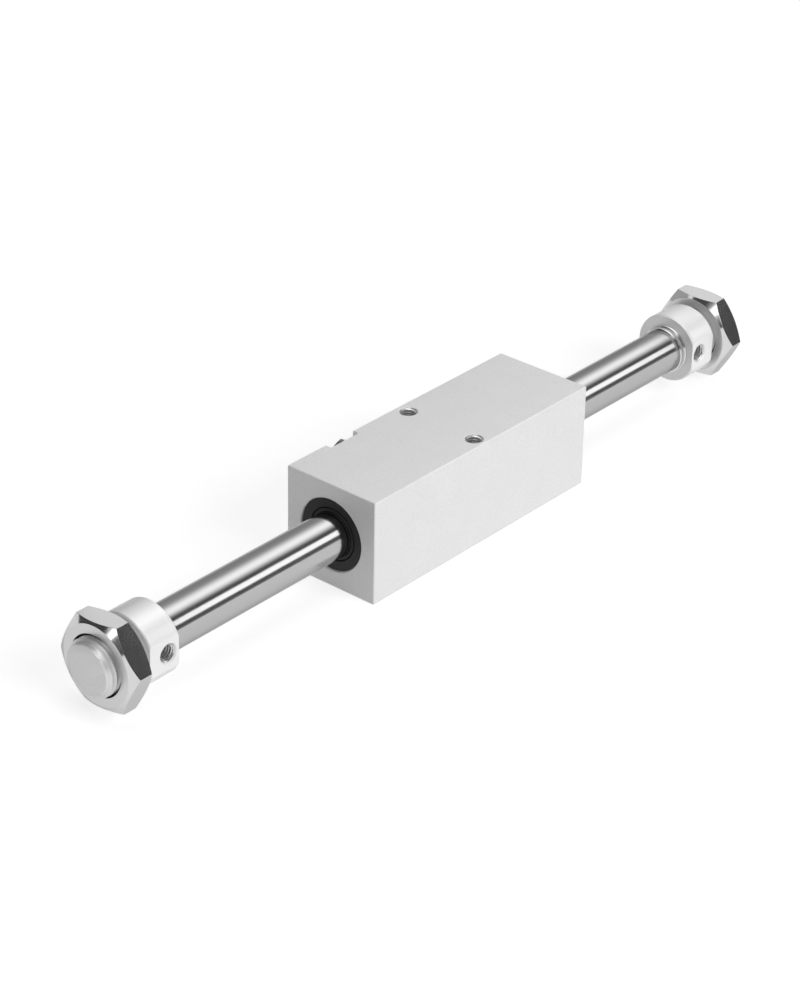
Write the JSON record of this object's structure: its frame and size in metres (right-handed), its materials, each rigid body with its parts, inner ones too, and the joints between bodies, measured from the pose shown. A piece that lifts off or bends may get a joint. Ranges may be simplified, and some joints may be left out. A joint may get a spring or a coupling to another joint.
{
  "type": "rodless pneumatic cylinder",
  "caption": "Rodless pneumatic cylinder: square slide pulled along a polished barrel by magnets on a hidden piston, with ported end caps and threaded stubs with nuts.",
  "frame": {"origin": "on the barrel's axis, half way between the end caps", "axes": "+X along the barrel, +Z out of the slide's top face with the two threaded holes, and both air ports face -Y"},
  "size_m": [0.2586, 0.0304, 0.0304],
  "materials": {
    "stainless_barrel": "drawn stainless steel, ground and polished",
    "turned_aluminium": "turned and clear anodised, satin",
    "anodised_block": "fine blasted and clear anodised, matt",
    "plated_steel": "bright zinc plated",
    "bright_ring": "turned stainless steel",
    "spring_steel": "phosphated spring steel",
    "spindle_steel": "turned stainless steel",
    "yoke_iron": "turned soft iron",
    "magnet_nickel": "nickel plated sintered magnet",
    "black_rubber": "moulded nitrile rubber",
    "black_wiper": "moulded matt black wiper",
    "bumper_elastomer": "cast polyurethane",
    "bush_polymer": "filled bearing polymer"
  },
  "bodies": {
    "cylinder": {"barrel_tube": "stainless_barrel", "end_cap_left": "turned_aluminium", "end_cap_right": "turned_aluminium", "barrel_ring_left": "bright_ring", "barrel_ring_right": "bright_ring", "cap_o_ring_left": "black_rubber", "cap_o_ring_right": "black_rubber", "end_bumper_left": "bumper_elastomer", "end_bumper_right": "bumper_elastomer", "mounting_nut_left": "plated_steel", "mounting_nut_right": "plated_steel"},
    "slide": {"slide_block": "anodised_block", "wiper_ring_left": "black_wiper", "wiper_ring_right": "black_wiper", "retaining_clip_left": "spring_steel", "retaining_clip_right": "spring_steel", "guide_bush_left": "bush_polymer", "guide_bush_right": "bush_polymer", "outer_spacer_left": "turned_aluminium", "outer_spacer_right": "turned_aluminium", "outer_yokes": "yoke_iron", "outer_magnets": "magnet_nickel", "side_screw": "plated_steel"},
    "piston": {"piston_spindle": "spindle_steel", "inner_yokes": "yoke_iron", "inner_magnets": "magnet_nickel", "piston_left": "turned_aluminium", "piston_right": "turned_aluminium", "piston_seal_left": "black_rubber", "piston_seal_right": "black_rubber", "piston_wear_ring_left": "bush_polymer", "piston_wear_ring_right": "bush_polymer", "spindle_nut_left": "plated_steel", "spindle_nut_right": "plated_steel"}
  },
  "joints": [
    {"name": "slide_travel", "type": "slide", "parent": "cylinder", "child": "slide", "axis": [1, 0, 0], "range_m": [-0.0633, 0.0567]},
    {"name": "piston_travel", "type": "slide", "parent": "cylinder", "child": "piston", "axis": [1, 0, 0], "range_m": [-0.0633, 0.0567]}
  ],
  "couplings": [
    {"joint": "piston_travel", "follows": "slide_travel", "ratio": 1}
  ]
}
